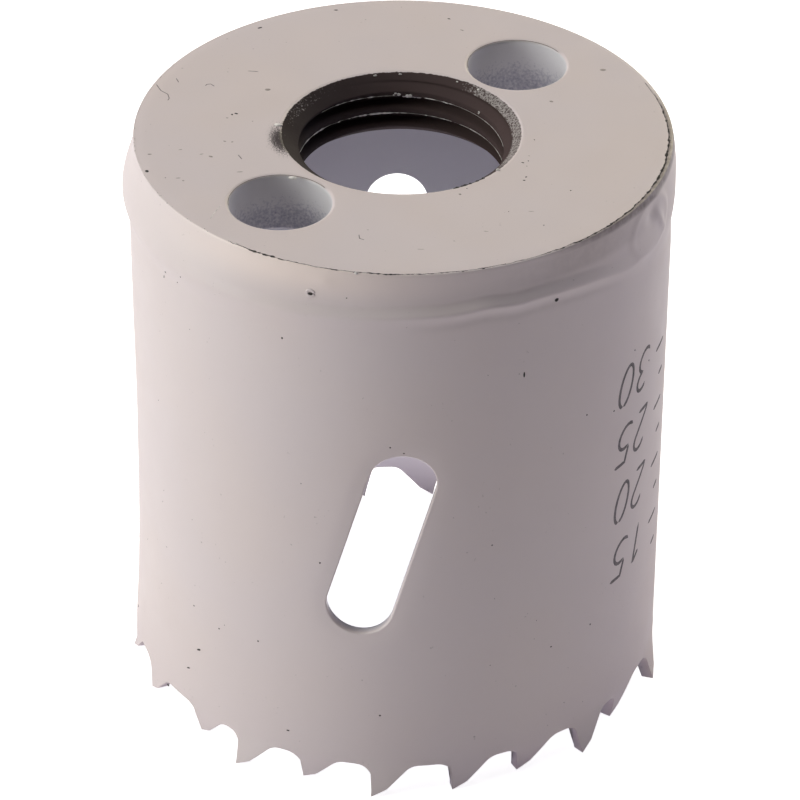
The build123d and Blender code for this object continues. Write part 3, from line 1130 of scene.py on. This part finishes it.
# %% [markdown]
# The cap and the wall are two pieces under one coat, and the coat cracks between them. The crack
# is one ribbon that lies over the joint. Its width comes from a table of bearings, and a seeded
# noise makes both the width and the line wander. Loose chips lie along it. Where it hasn't
# cracked, a thin bridge of enamel covers the joint, which would show as a dark gap otherwise.

# %% The seam between cap and wall
SEAM = np.array([            # bearing and width of the crack
    (-38, 0.03), (-33, 0.08), (-30.8, 0.17), (-27, 0.14), (-24, 0.06), (-20, 0.05), (-15, 0.05),
    (-9, 0.08), (-6, 0.11), (0, 0.08), (5, 0.05), (15, 0.035), (24, 0.04), (30, 0.06), (40, 0.07),
    (50, 0.06), (58, 0.07), (66, 0.085), (80, 0.10), (92, 0.08), (104, 0.03), (112, 0.01),
])
SEAM_CHIPS = (               # first and last bearing of a run of chips, their number and size
    (-120, -38, 34, 0.05), (-6, 40, 9, 0.12), (45, 102, 44, 0.10),
)
SEAM_RISE, SEAM_CHIP_RISE = 0.02, 0.025
BRIDGE_WIDTH, BRIDGE_RISE = 0.10, 0.004


def ragged(count, reach):
    """Seeded unevenness about 1, that changes over `reach` points: noise under a sliding window."""
    window = np.hanning(2 * reach + 1)
    rough = np.convolve(rng.normal(0, 1, count + 2 * reach), window, "same")[reach:-reach]
    return np.clip(1 + 0.75 * rough / rough.std(), 0.12, 2.4)


def seam():
    """The crack in the enamel: one ribbon whose width and line wander, and chips along it."""
    bearing = np.linspace(SEAM[0, 0], SEAM[-1, 0], 1200)
    width = np.interp(bearing, *SEAM.T) * ragged(len(bearing), 5)
    wander = 0.035 * (ragged(len(bearing), 16) - 1) + 0.015 * (ragged(len(bearing), 5) - 1)
    path = np.stack([bearing, CAP_RADIUS + 0.02 + wander], -1)
    patches = [stroke(*on_cap(path), width, SEAM_RISE)]
    runs = [rng.uniform(first, last, number) for first, last, number, _ in SEAM_CHIPS]
    for spots, (_, _, _, size) in zip(runs, SEAM_CHIPS):
        for spot in spots:
            place, up = on_cap((spot, CAP_RADIUS + rng.uniform(-0.04, 0.10)))
            length = size * rng.uniform(0.35, 1.3)
            patches.append(dot(place, up, outwards(spot + 90), length, 0.4 * length, SEAM_CHIP_RISE))
    return patches


make_piece("seam", seam(), chipped)
unbroken = np.linspace(SEAM[-1, 0], SEAM[0, 0] + 360, 500)
bridge = np.stack([unbroken, 0 * unbroken + CAP_RADIUS + 0.01], -1)
make_piece("seam_bridge", [stroke(*on_cap(bridge), BRIDGE_WIDTH, BRIDGE_RISE)], wall_enamel)

# %% [markdown]
# Dust, nicks and chips are dots. The ones that can be made out each have a row in a table, with
# their place, size and direction. The finest dust is strewn at random over the wall, but not round
# the slots. The marks that hardly show are a piece of their own, because their colour is paler.

# %% Where the dust and the chips are
WALL_SPECKS = (              # bearing, height, half length, half width and slope
    (26.2, -9.0, 0.07, 0.24, 0), (-24.5, -6.0, 0.07, 0.09, 0), (-48.3, -36.2, 0.24, 0.08, 0.5),
    (-52.1, -38.6, 0.22, 0.06, 0.5), (-60.5, -42.0, 0.20, 0.10, 0.3), (-49.7, -32.5, 0.07, 0.06, 0),
    (-41.7, -33.1, 0.07, 0.06, 0), (-31.1, -32.6, 0.07, 0.07, 0), (-24.0, -39.8, 0.13, 0.06, 0),
    (34.8, -33.4, 0.08, 0.06, 0), (19.9, -22.8, 0.06, 0.06, 0), (-3.6, -37.1, 0.08, 0.07, 0),
    (58.6, -11.7, 0.06, 0.07, 0), (51.3, -15.5, 0.08, 0.07, 0), (42.6, -14.4, 0.06, 0.07, 0),
    (-1.8, -13.8, 0.06, 0.06, 0), (1.0, -14.3, 0.07, 0.05, 0), (-16.5, -24.2, 0.06, 0.08, 0),
    (33.3, -3.6, 0.17, 0.19, 0), (-83.5, -40.2, 0.16, 0.07, 0), (46.0, -33.2, 0.05, 0.08, 0),
    (-50.5, -4.4, 0.05, 0.05, 0), (-58.0, -5.8, 0.04, 0.12, 0), (-10.9, -2.0, 0.05, 0.04, 0),
    (66.0, -14.0, 0.05, 0.08, 0), (-57.0, -5.2, 0.10, 0.03, -1.5), (-52.6, -5.3, 0.05, 0.04, 0),
)
CAP_SPECKS = (               # bearing, radius, half length, half width and the bearing it points to
    (-144.6, 18.0, 0.20, 0.08, -60), (-164.3, 18.1, 0.16, 0.07, 90), (-100.9, 11.94, 0.15, 0.08, 60),
    (-100.0, 12.2, 0.10, 0.07, 20), (52.4, 10.75, 0.10, 0.06, 80), (54.8, 10.6, 0.09, 0.06, 120),
    (-72.0, 18.55, 0.17, 0.13, 30), (56.1, 14.1, 0.06, 0.06, 40), (38.1, 15.8, 0.05, 0.05, 0),
    (63.7, 9.45, 0.12, 0.05, 60), (66.0, 9.7, 0.06, 0.05, 60), (83.6, 9.4, 0.07, 0.04, 20),
    (30.5, 8.95, 0.05, 0.04, 70), (34.6, 13.0, 0.05, 0.03, 0), (168.1, 16.6, 0.13, 0.06, 60),
)
FAINT_SPECKS = (             # the same, for marks that hardly show
    (-120.6, 11.14, 0.22, 0.16, 90), (-97.6, 12.45, 0.10, 0.06, 90), (-82.7, 12.5, 0.12, 0.07, 60),
    (-82.0, 11.98, 0.07, 0.09, 30), (-79.8, 15.7, 0.14, 0.05, 100), (-78.9, 17.9, 0.16, 0.08, 90),
    (-76.4, 14.35, 0.16, 0.05, 110), (-74.5, 13.8, 0.18, 0.10, 60), (-62.9, 12.57, 0.24, 0.05, 95),
    (-66.8, 16.8, 0.18, 0.05, 95), (-65.2, 16.6, 0.10, 0.07, 60), (112.0, 11.5, 0.16, 0.12, 60),
    (121.5, 17.0, 0.24, 0.16, 90), (163.3, 15.2, 0.16, 0.06, 60), (40.0, 13.9, 0.22, 0.03, 90),
    (25.6, 9.4, 0.12, 0.09, 40), (5.0, 15.7, 0.26, 0.03, 90), (23.6, 14.5, 0.18, 0.04, 80),
    (-96.5, 10.6, 0.06, 0.05, 0), (-68.0, 17.6, 0.07, 0.05, 0), (62.0, 9.9, 0.07, 0.04, 10),
    (70.0, 9.5, 0.08, 0.04, 80), (-9.6, 13.4, 0.08, 0.03, 70), (14.0, 15.0, 0.08, 0.03, 70),
)
print(len(WALL_SPECKS), "specks on the wall,", len(CAP_SPECKS) + len(FAINT_SPECKS), "on the cap")


# %% Dust and chips on the wall and the cap
def specks_on_cap(table, rise):
    """A dot on the cap's face for each row of a table."""
    dots = []
    for bearing, radius, length, width, heading in table:
        place, up = on_cap((bearing, radius))
        dots.append(dot(place, up, outwards(heading), length, width, rise))
    return dots


WALL_SPECK_RISE, CAP_SPECK_RISE, FAINT_RISE = 0.03, 0.02, 0.006
DUST_GRAINS = 60
GRAIN_SIZES, GRAIN_RISE = (0.02, 0.05), 0.008
SLOT_CLEARANCE = 14          # degrees either side of a slot without strewn dust
MOUTH_CHIP_Z = -0.035        # height of the chips along the mouth of the bore
MOUTH_CHIP_WIDTH = 0.20
MOUTH_CHIP_RISE = 0.03
make_piece("faint_specks", specks_on_cap(FAINT_SPECKS, FAINT_RISE), faint)

specks = []
for bearing, height, length, width, slope in WALL_SPECKS:
    place, out = on_wall((bearing, height))
    heading = outwards(bearing + 90) + slope * UP
    specks.append(dot(place, out, heading, length, width, WALL_SPECK_RISE))
specks += specks_on_cap(CAP_SPECKS, CAP_SPECK_RISE)
strewn = zip(rng.uniform(-180, 180, DUST_GRAINS), rng.uniform(-41, -5, DUST_GRAINS))
for bearing, height in strewn:
    if min(abs(away(bearing, slot)) for slot in SLOT_BEARINGS) > SLOT_CLEARANCE:
        place, out = on_wall((bearing, height))
        length, width = rng.uniform(*GRAIN_SIZES, 2)
        specks.append(dot(place, out, outwards(bearing + 70), length, width, GRAIN_RISE))
mouth_edge = np.linspace(25, 43, 40)
chip_width = MOUTH_CHIP_WIDTH * ragged(len(mouth_edge), 3)
mouth_path = at(mouth_edge, MOUTH_RADIUS, MOUTH_CHIP_Z)
specks.append(stroke(mouth_path, UP, chip_width, MOUTH_CHIP_RISE))
make_piece("specks", specks, chipped)

# %% [markdown]
# A hair scratch is a stroke through a few corners. On the far side of each pin hole a thin brown
# line lies just inside the lip. It is painted shade where the rounded lip turns down, an arc round
# the hole's own axis.

# %% Scratches in the cap's enamel, and painted shade lines on the far rims of the pin holes
SCRATCHES = (                # the corners of each, as bearing and radius
    ((-109.8, 18.7), (-107.5, 18.06), (-106.4, 17.41), (-104.7, 17.13), (-103.6, 17.14)),
    ((-114.0, 17.74), (-112.4, 17.29)), ((-128.6, 13.2), (-126.8, 13.9)),
    ((-113.6, 15.35), (-114.5, 15.35), (-115.1, 15.12), (-114.4, 14.72)),
    ((-11.6, 14.1), (-11.0, 14.6), (-9.6, 14.7)), ((-73.5, 11.9), (-70.0, 11.8)),
)
HAIR_WIDTH, HAIR_RISE = 0.06, 0.012
hairs = []
for corners in SCRATCHES:
    hairs.append(stroke(*on_cap(spread(corners, 6)), HAIR_WIDTH, HAIR_RISE))
make_piece("scratches", hairs, etched)

# painted shade along the far rim of each pin hole
RIM_SHADE_WIDTH, RIM_SHADE_RISE = 0.045, 0.02
RIM_SHADE_Z = -0.03                              # just below the cap's face, on the lip
far_side = np.linspace(-100, 60, 49)        # bearings round a pin hole's axis
rims = []
for bearing in PIN_BEARINGS:
    rim = at(bearing, PIN_CIRCLE, RIM_SHADE_Z) + (PIN_RADIUS + 0.02) * outwards(180 - far_side)
    rims.append(stroke(rim, UP, RIM_SHADE_WIDTH, RIM_SHADE_RISE))
make_piece("pin_hole_rims", rims, rim_shade_line)

# %% [markdown]
# One bubble has burst in the coat on the shoulder. It left a dark pit with a raised rim, so the
# rim is a closed stroke with the wall's own enamel, and the pit is a dot inside it.

# %% The pit with its raised rim
PIT = (-18.5, -2.0)          # bearing and height
PIT_REACH = (0.75, 0.23)     # half axes of the rim, in degrees and mm
PIT_SIZE = (0.20, 0.13)      # half axes of the pit itself, in mm
PIT_RIM_WIDTH = 0.22
PIT_RISE = 0.07
turns = np.radians(np.linspace(0, 360, 25))
rim_path = np.stack([PIT[0] + PIT_REACH[0] * np.cos(turns), PIT[1] + PIT_REACH[1] * np.sin(turns)], -1)
make_piece("pit_rim", [stroke(*on_wall(rim_path), PIT_RIM_WIDTH, PIT_RISE)], wall_enamel)
pit_place, pit_out = on_wall((PIT[0] + 0.15, PIT[1] - 0.06))
make_piece("pit", [dot(pit_place, pit_out, outwards(PIT[0] + 90), *PIT_SIZE, PIT_RISE)], chipped)

# %% [markdown]
# Some enamel got past the plug and lies on the crests of the thread. Where it is thick it is a
# clump of dots, strewn along the turn. Where it only caught the lower edge of a turn, it is a
# ribbon that climbs as the thread does, and whose width falls to almost nothing between clumps.

# %% Where the paint flecks are
FLECKS = (                   # bearing, height, reach along the thread, and size
    (-177.3, -1.20, 0.40, 0.10), (177.0, -1.38, 0.60, 0.13), (172.0, -1.60, 0.50, 0.11),
    (155.3, -1.57, 0.32, 0.09), (151.4, 0.0, 0.10, 0.06), (-166.5, 0.0, 0.09, 0.08),
    (-139.5, -1.50, 0.60, 0.09), (-144.0, -1.55, 0.30, 0.06), (-141.0, -2.72, 0.50, 0.09),
    (-150.9, -2.78, 0.40, 0.08), (-159.0, -2.80, 0.20, 0.06), (-179.4, 0.0, 0.10, 0.10),
    (107.5, -1.98, 0.10, 0.09), (-101.6, -2.55, 0.10, 0.08), (-96.0, -1.2, 0.10, 0.08),
    (138.4, -0.1, 0.16, 0.06), (130.3, -1.2, 0.16, 0.05), (148.4, -3.1, 0.20, 0.05),
)
RIBBONS = (                  # turn of the thread, first and last bearing, width, and clump size
    (0, 182, 232, 0.055, 4), (0, 96, 168, 0.030, 3), (1, 176, 262, 0.075, 3),
    (1, 150, 178, 0.035, 2), (1, 92, 146, 0.040, 3),
)
BLOBS = (                    # bearing, radius, half length and half width of drops on the cap
    (-94.6, 8.75, 0.30, 0.17), (-49.2, 9.92, 0.30, 0.16), (52.3, 8.5, 0.16, 0.10),
    (-36.2, 18.8, 0.10, 0.05), (-9.0, 18.95, 0.12, 0.05),
)
PALE_SCRATCH = ((-47.25, 17.76), (-50.7, 15.91))
HIGHEST_FLECK = -0.16        # no fleck on the thread lies above the mouth's lip
FLECK_RISE, RIBBON_RISE, BLOB_RISE = 0.05, 0.03, 0.11
print(len(FLECKS), "clumps,", len(RIBBONS), "ribbons and", len(BLOBS), "drops")

# %% Paint flecks left on the thread
flecks = []
for bearing, height, reach, size in FLECKS:
    count_here = 3 + int(14 * reach)
    shifts = rng.uniform(-0.6, 0.6, count_here) * reach
    for shift, share in zip(shifts, rng.uniform(0.35, 1.0, count_here)):
        spot = bearing + np.degrees(shift / CREST_RADIUS)
        level = min(height - 0.12 * shift + rng.normal(0, 0.05), HIGHEST_FLECK)
        place = at(spot, bore_radius(np.array(spot), np.array(level)), level)
        half = size * share
        flecks.append(dot(place, -outwards(spot), outwards(spot + 90), 1.3 * half, half, FLECK_RISE))


def ribbon_on_crest(turn, first, last, width, reach):
    """A ragged line of enamel along the lower edge of a turn: it climbs as the thread does."""
    bearing = np.arange(first, last, 0.6)
    climb = CREST_Z + PITCH * away(bearing, 180) / 360 - turn * PITCH - CREST_HALF
    radius = bore_radius(bearing, climb)
    clumps = ragged(len(bearing), reach) * ragged(len(bearing), 5 * reach)
    line = width * np.clip(clumps - 0.45, 0.02, 2.2)
    return stroke(at(bearing, radius, climb), -outwards(bearing), line, RIBBON_RISE)


for ribbon in RIBBONS:
    flecks.append(ribbon_on_crest(*ribbon))
for bearing, radius, length, width in BLOBS:
    blob, up = on_cap((bearing, radius))
    flecks.append(dot(blob, up, outwards(80), length, width, BLOB_RISE))
flecks.append(stroke(*on_cap(spread(PALE_SCRATCH, 8)), 0.05, HAIR_RISE))
make_piece("flecks", flecks, fleck_paint)

# %% [markdown]
# ## The depth scale
#
# A hole saw is often etched with a scale that tells how deep it has cut, counted from the tips
# and read with the teeth upwards. The numbers are strokes in a box one unit high. A stroke is put
# on the wall by turning its box upside down and sliding its top along, which gives the slant.

# %% Strokes for the numbers
NUMBER_HEIGHT = 3.1
NUMBER_SLANT = 0.28          # how far a stroke's top slides along, as a share of its height
LINE_WIDTH = 0.29
LINE_RISE = 0.008
DIGIT_BEARINGS = (66.8, 59.6)               # where a number's two digits start
TICKS = (70.5, 77.0)                        # from and to this bearing
SHORT_TICK = 3                              # degrees that the short ones start later,
HALF_WAY = 2.5                              # and mm that they lie beyond the long ones
DEPTHS = (15, 20, 25, 30)                   # mm from the tips
hook_of_two = arc((0.27, 0.74), 0.25, 165, -35, 12)
back_of_two = spread([(0.45, 0.55), (0.03, 0.0)], 6)[1:]
GLYPHS = {
    "0": [np.stack([0.27 + 0.25 * np.sin(turns), 0.5 + 0.5 * np.cos(turns)], -1)],
    "1": [spread([(0.05, 0.78), (0.28, 1.0), (0.28, 0.0)], 8)],
    "2": [np.concatenate([hook_of_two, back_of_two]), spread([(0.02, 0.0), (0.55, 0.0)], 6)],
    "3": [arc((0.24, 0.76), 0.23, 150, -90, 12), arc((0.24, 0.27), 0.27, 90, -150, 12)],
    "5": [spread([(0.52, 1.0), (0.10, 1.0), (0.06, 0.58)], 6), arc((0.24, 0.31), 0.30, 125, -140, 14)],
}
print("digits:", {digit: len(strokes) for digit, strokes in GLYPHS.items()}, "strokes each")


# %% The depth scale
def on_scale(strokes, start, height):
    """Strokes in unit boxes as ribbons on the wall, upside down from a bearing and a height."""
    ribbons = []
    for points in strokes:
        turned = start - (points[:, 0] + NUMBER_SLANT * points[:, 1]) * NUMBER_HEIGHT / per_degree
        path = np.stack([turned, height - (points[:, 1] - 0.5) * NUMBER_HEIGHT], -1)
        ribbons.append(stroke(*on_wall(path), LINE_WIDTH, LINE_RISE))
    return ribbons


def tick(first, last, height):
    """A line of the scale, from one bearing to another at a height."""
    return stroke(*on_wall(spread([(first, height), (last, height)], 8)), LINE_WIDTH, LINE_RISE)


scale = []
for depth in DEPTHS:
    height = TIP_Z + depth
    for start, digit in zip(DIGIT_BEARINGS, str(depth)):
        scale += on_scale(GLYPHS[digit], start, height)
    scale.append(tick(TICKS[0], TICKS[1], height))
    scale.append(tick(TICKS[0] + SHORT_TICK, TICKS[1], height - HALF_WAY))
make_piece("depth_scale", scale, etched)

# %% [markdown]
# ## The light
#
# A product shot in a white sweep: a broad soft light from the left, a dim front, and a paler one
# from the right and behind, which leaves the darkest part of the wall right of its middle. The
# floor and the background render pure white, but the floor still takes the saw's shadow.

# %% Where a lamp or a camera looks
def look_along(place, aim, roll):
    """The matrix of a lamp or a camera at a place that looks along `aim`, rolled by an angle."""
    aim = aim / np.linalg.norm(aim)
    right = np.cross(aim, (0, 0, 1))
    right /= np.linalg.norm(right)
    up = np.cross(right, aim)
    turned = right * np.cos(roll) + up * np.sin(roll)
    up = up * np.cos(roll) - right * np.sin(roll)
    rows = np.stack([turned, up, -aim, place], -1)
    return Matrix([list(row) for row in rows] + [[0, 0, 0, 1]])


# %% Lamps
AIM_POINT = np.array([0, 0, -0.02])         # the saw's middle, in metres
WIDE = (0.22, 0.35)
SQUARE = (0.35, 0.35)
LAMPS = (
    # name, bearing, angle of height, distance, size, power in watts, and colour
    ("left", -80, 20, 0.45, WIDE, 1.60, (0.98, 1, 0.95)),
    ("right", 120, 20, 0.45, WIDE, 0.42, (0.77, 0.79, 1)),
    ("back_right", 150, 20, 0.45, WIDE, 1.00, (1, 0.94, 0.67)),
    ("back_left", -150, 20, 0.45, WIDE, 0.52, (1, 0.89, 0.93)),
    ("top", 0, 89, 0.50, SQUARE, 0.99, (0.97, 0.98, 1)),
)


def area_light(name, bearing, height, distance, size, power, colour):
    """A rectangular lamp at a bearing and an angle of height, that faces the saw's middle."""
    lamp = bpy.data.lights.new(name, "AREA")
    lamp.shape = "RECTANGLE"
    lamp.size, lamp.size_y = size
    lamp.energy = power
    lamp.color = colour
    light = bpy.data.objects.new(name, lamp)
    bpy.context.scene.collection.objects.link(light)
    up = np.radians(height)
    out = at(bearing, np.cos(up), np.sin(up))
    light.matrix_world = look_along(AIM_POINT + distance * out, -out, 0.0)


for lamp in LAMPS:
    area_light(*lamp)

# %% [markdown]
# The floor does three jobs. To the camera it is white, so that the saw stands on clear ground. As
# a light it is dim, with a violet tint that the lower wall picks up. Right under the saw it shines
# up into the cup, as a light table does, and that is the light seen through the bore. Light Path
# tells the camera's rays from the rest, and the distance from the axis makes the bright patch.

# %% The floor
FLOOR_SHOWN = 0.80           # the floor's own glow as the camera sees it
FLOOR_GLOW = 0.146           # and as a light, round the saw
FLOOR_TINT = (0.81, 0.625, 1.0, 1)
UNDER_GLOW = 2.8             # and under the saw
UNDER_FADE = (0.0105, 0.0150)               # distances from the axis, in metres, where that ends
FLOOR_HALF = 3               # metres from the middle of the floor to its edges


def white_floor():
    """A pale floor that glows a little, so that it renders white but keeps a soft shadow."""
    material, tree, shader = new_material("floor")
    shader.inputs["Base Color"].default_value = (0.9, 0.9, 0.9, 1)
    shader.inputs["Roughness"].default_value = 1.0
    place = tree.nodes.new("ShaderNodeTexCoord").outputs["Object"]
    from_axis = tree.nodes.new("ShaderNodeVectorMath")
    from_axis.operation = "LENGTH"
    tree.links.new(place, from_axis.inputs[0])
    under = ramp(tree, from_axis.outputs["Value"], *UNDER_FADE, 1.0, 0.0)
    seen = tree.nodes.new("ShaderNodeLightPath").outputs["Is Camera Ray"]
    white = calculate(tree, "MAXIMUM", seen, under)
    tree.links.new(blend(tree, white, FLOOR_TINT, (1, 1, 1, 1)), shader.inputs["Emission Color"])
    glow = ramp(tree, under, 0, 1, FLOOR_GLOW, UNDER_GLOW)
    shown = calculate(tree, "MULTIPLY", seen, FLOOR_SHOWN)
    hidden = calculate(tree, "MULTIPLY", calculate(tree, "SUBTRACT", 1.0, seen), glow)
    tree.links.new(calculate(tree, "ADD", shown, hidden), shader.inputs["Emission Strength"])
    far = FLOOR_HALF
    mesh = bpy.data.meshes.new("floor")
    mesh.from_pydata([(-far, -far, 0), (far, -far, 0), (far, far, 0), (-far, far, 0)], [], [(0, 1, 2, 3)])
    mesh.materials.append(material)
    plane = bpy.data.objects.new("floor", mesh)
    plane.location.z = TIP_Z * MM
    bpy.context.scene.collection.objects.link(plane)


white_floor()
print(f"floor at {TIP_Z:.1f} mm, bright within {UNDER_FADE[0] / MM:.1f} mm of the axis")

# %% [markdown]
# The background is white where it is seen, and almost dark as a light, so that the lamps alone
# shape the saw. A bright world would fill every shadow and wash out the band.

# %% The background
WORLD_LIGHT = 0.01           # the background's strength as a light


def white_world():
    """A world that is white to the camera and through glass, and almost dark as a light."""
    world = bpy.data.worlds.new("world")
    world.use_nodes = True
    tree = world.node_tree
    path = tree.nodes.new("ShaderNodeLightPath")
    seen = calculate(tree, "MAXIMUM", path.outputs["Is Camera Ray"], path.outputs["Is Transmission Ray"])
    background = tree.nodes["Background"]
    background.inputs["Color"].default_value = (1, 1, 1, 1)
    tree.links.new(ramp(tree, seen, 0, 1, WORLD_LIGHT, 1.0), background.inputs["Strength"])
    bpy.context.scene.world = world


white_world()
print("world light:", WORLD_LIGHT)

# %% [markdown]
# ## The camera
#
# It stands in front of the saw and looks down on it through a long lens, which keeps the ovals of
# the cap and the mouth almost alike. The lens is given in points of a frame 800 wide, so it is
# turned into millimetres with the width of the sensor. The camera is also rolled by half a degree.

# %% The camera
SENSOR_WIDTH = 36            # mm
FRAME_WIDTH = 800            # points across the frame
LENS_POINTS = 4445           # distance from lens to frame, in the same points
CAMERA_PLACE = np.array([0, -0.27013, 0.15955])
LOOKS_DOWN = np.radians(34.03)
LOOKS_RIGHT = 1.70e-4        # radians from straight ahead
CAMERA_ROLL = 8.0129e-3      # radians

scene = bpy.context.scene
camera = bpy.data.cameras.new("camera")
camera.sensor_width = SENSOR_WIDTH
camera.lens = LENS_POINTS / FRAME_WIDTH * SENSOR_WIDTH
camera_object = bpy.data.objects.new("camera", camera)
scene.collection.objects.link(camera_object)
ahead = np.array([np.sin(LOOKS_RIGHT), np.cos(LOOKS_RIGHT), 0]) * np.cos(LOOKS_DOWN)
camera_object.matrix_world = look_along(CAMERA_PLACE, ahead - UP * np.sin(LOOKS_DOWN), CAMERA_ROLL)
scene.camera = camera_object
scene.view_settings.view_transform = "Standard"
print(f"camera: lens {camera.lens:.0f} mm, {np.degrees(LOOKS_DOWN):.0f} degrees down")
